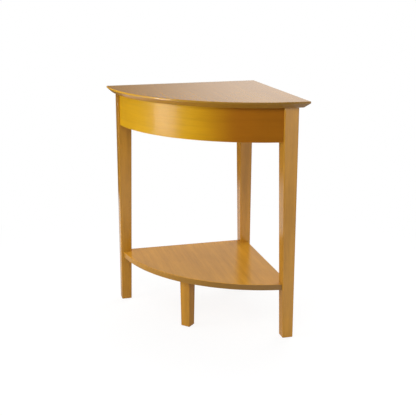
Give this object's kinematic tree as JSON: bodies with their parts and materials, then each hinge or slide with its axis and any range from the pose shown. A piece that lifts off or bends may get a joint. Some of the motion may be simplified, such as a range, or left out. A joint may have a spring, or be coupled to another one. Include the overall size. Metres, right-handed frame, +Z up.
{
  "type": "corner table",
  "caption": "Quarter-round corner table: undercut top, bowed front apron, tapered square legs, and a low shelf notched round the legs with a short leg under its bow.",
  "frame": {"origin": "middle of the table's plan box, at the floor", "axes": "+X along the back wall towards the wall corner, +Y away from the viewer towards the back wall, +Z up. The two straight edges of the top face +X and +Y, and its bowed edge faces between -X and -Y."},
  "size_m": [0.51, 0.5096, 0.7351],
  "materials": {
    "honey_wood": "clear semi-gloss lacquer over honey-coloured wood",
    "bare_wood": "unfinished sawn and planed wood",
    "beech": "unfinished turned dowel",
    "zinc_steel": "bright zinc plate",
    "nylon": "matte brown nylon"
  },
  "bodies": {
    "root": {"top_board": "honey_wood", "bowed_apron": "honey_wood", "back_apron": "honey_wood", "side_apron": "honey_wood", "left_leg": "honey_wood", "right_leg": "honey_wood", "back_leg": "honey_wood", "shelf": "honey_wood", "front_leg": "honey_wood", "left_block": "bare_wood", "right_block": "bare_wood", "back_block": "bare_wood", "front_cleat": "bare_wood", "left_hanger_bolt": "zinc_steel", "left_hanger_washer": "zinc_steel", "left_hanger_nut": "zinc_steel", "right_hanger_bolt": "zinc_steel", "right_hanger_washer": "zinc_steel", "right_hanger_nut": "zinc_steel", "back_hanger_bolt": "zinc_steel", "back_hanger_washer": "zinc_steel", "back_hanger_nut": "zinc_steel", "left_block_back_apron_screw": "zinc_steel", "left_block_bowed_apron_screw": "zinc_steel", "right_block_bowed_apron_screw": "zinc_steel", "right_block_side_apron_screw": "zinc_steel", "back_block_back_apron_screw": "zinc_steel", "back_block_side_apron_screw": "zinc_steel", "left_block_top_screw_a": "zinc_steel", "left_block_top_screw_b": "zinc_steel", "right_block_top_screw_a": "zinc_steel", "right_block_top_screw_b": "zinc_steel", "back_block_top_screw_a": "zinc_steel", "back_block_top_screw_b": "zinc_steel", "front_cleat_top_screw_a": "zinc_steel", "front_cleat_top_screw_b": "zinc_steel", "front_cleat_screw_a": "zinc_steel", "front_cleat_screw_b": "zinc_steel", "left_shelf_bolt": "zinc_steel", "left_barrel_nut": "zinc_steel", "right_shelf_bolt": "zinc_steel", "right_barrel_nut": "zinc_steel", "back_shelf_bolt": "zinc_steel", "back_barrel_nut": "zinc_steel", "front_leg_insert": "zinc_steel", "front_leg_bolt": "zinc_steel", "front_leg_dowel": "beech", "left_leg_glide": "nylon", "right_leg_glide": "nylon", "back_leg_glide": "nylon", "front_leg_glide": "nylon"}
  },
  "joints": []
}
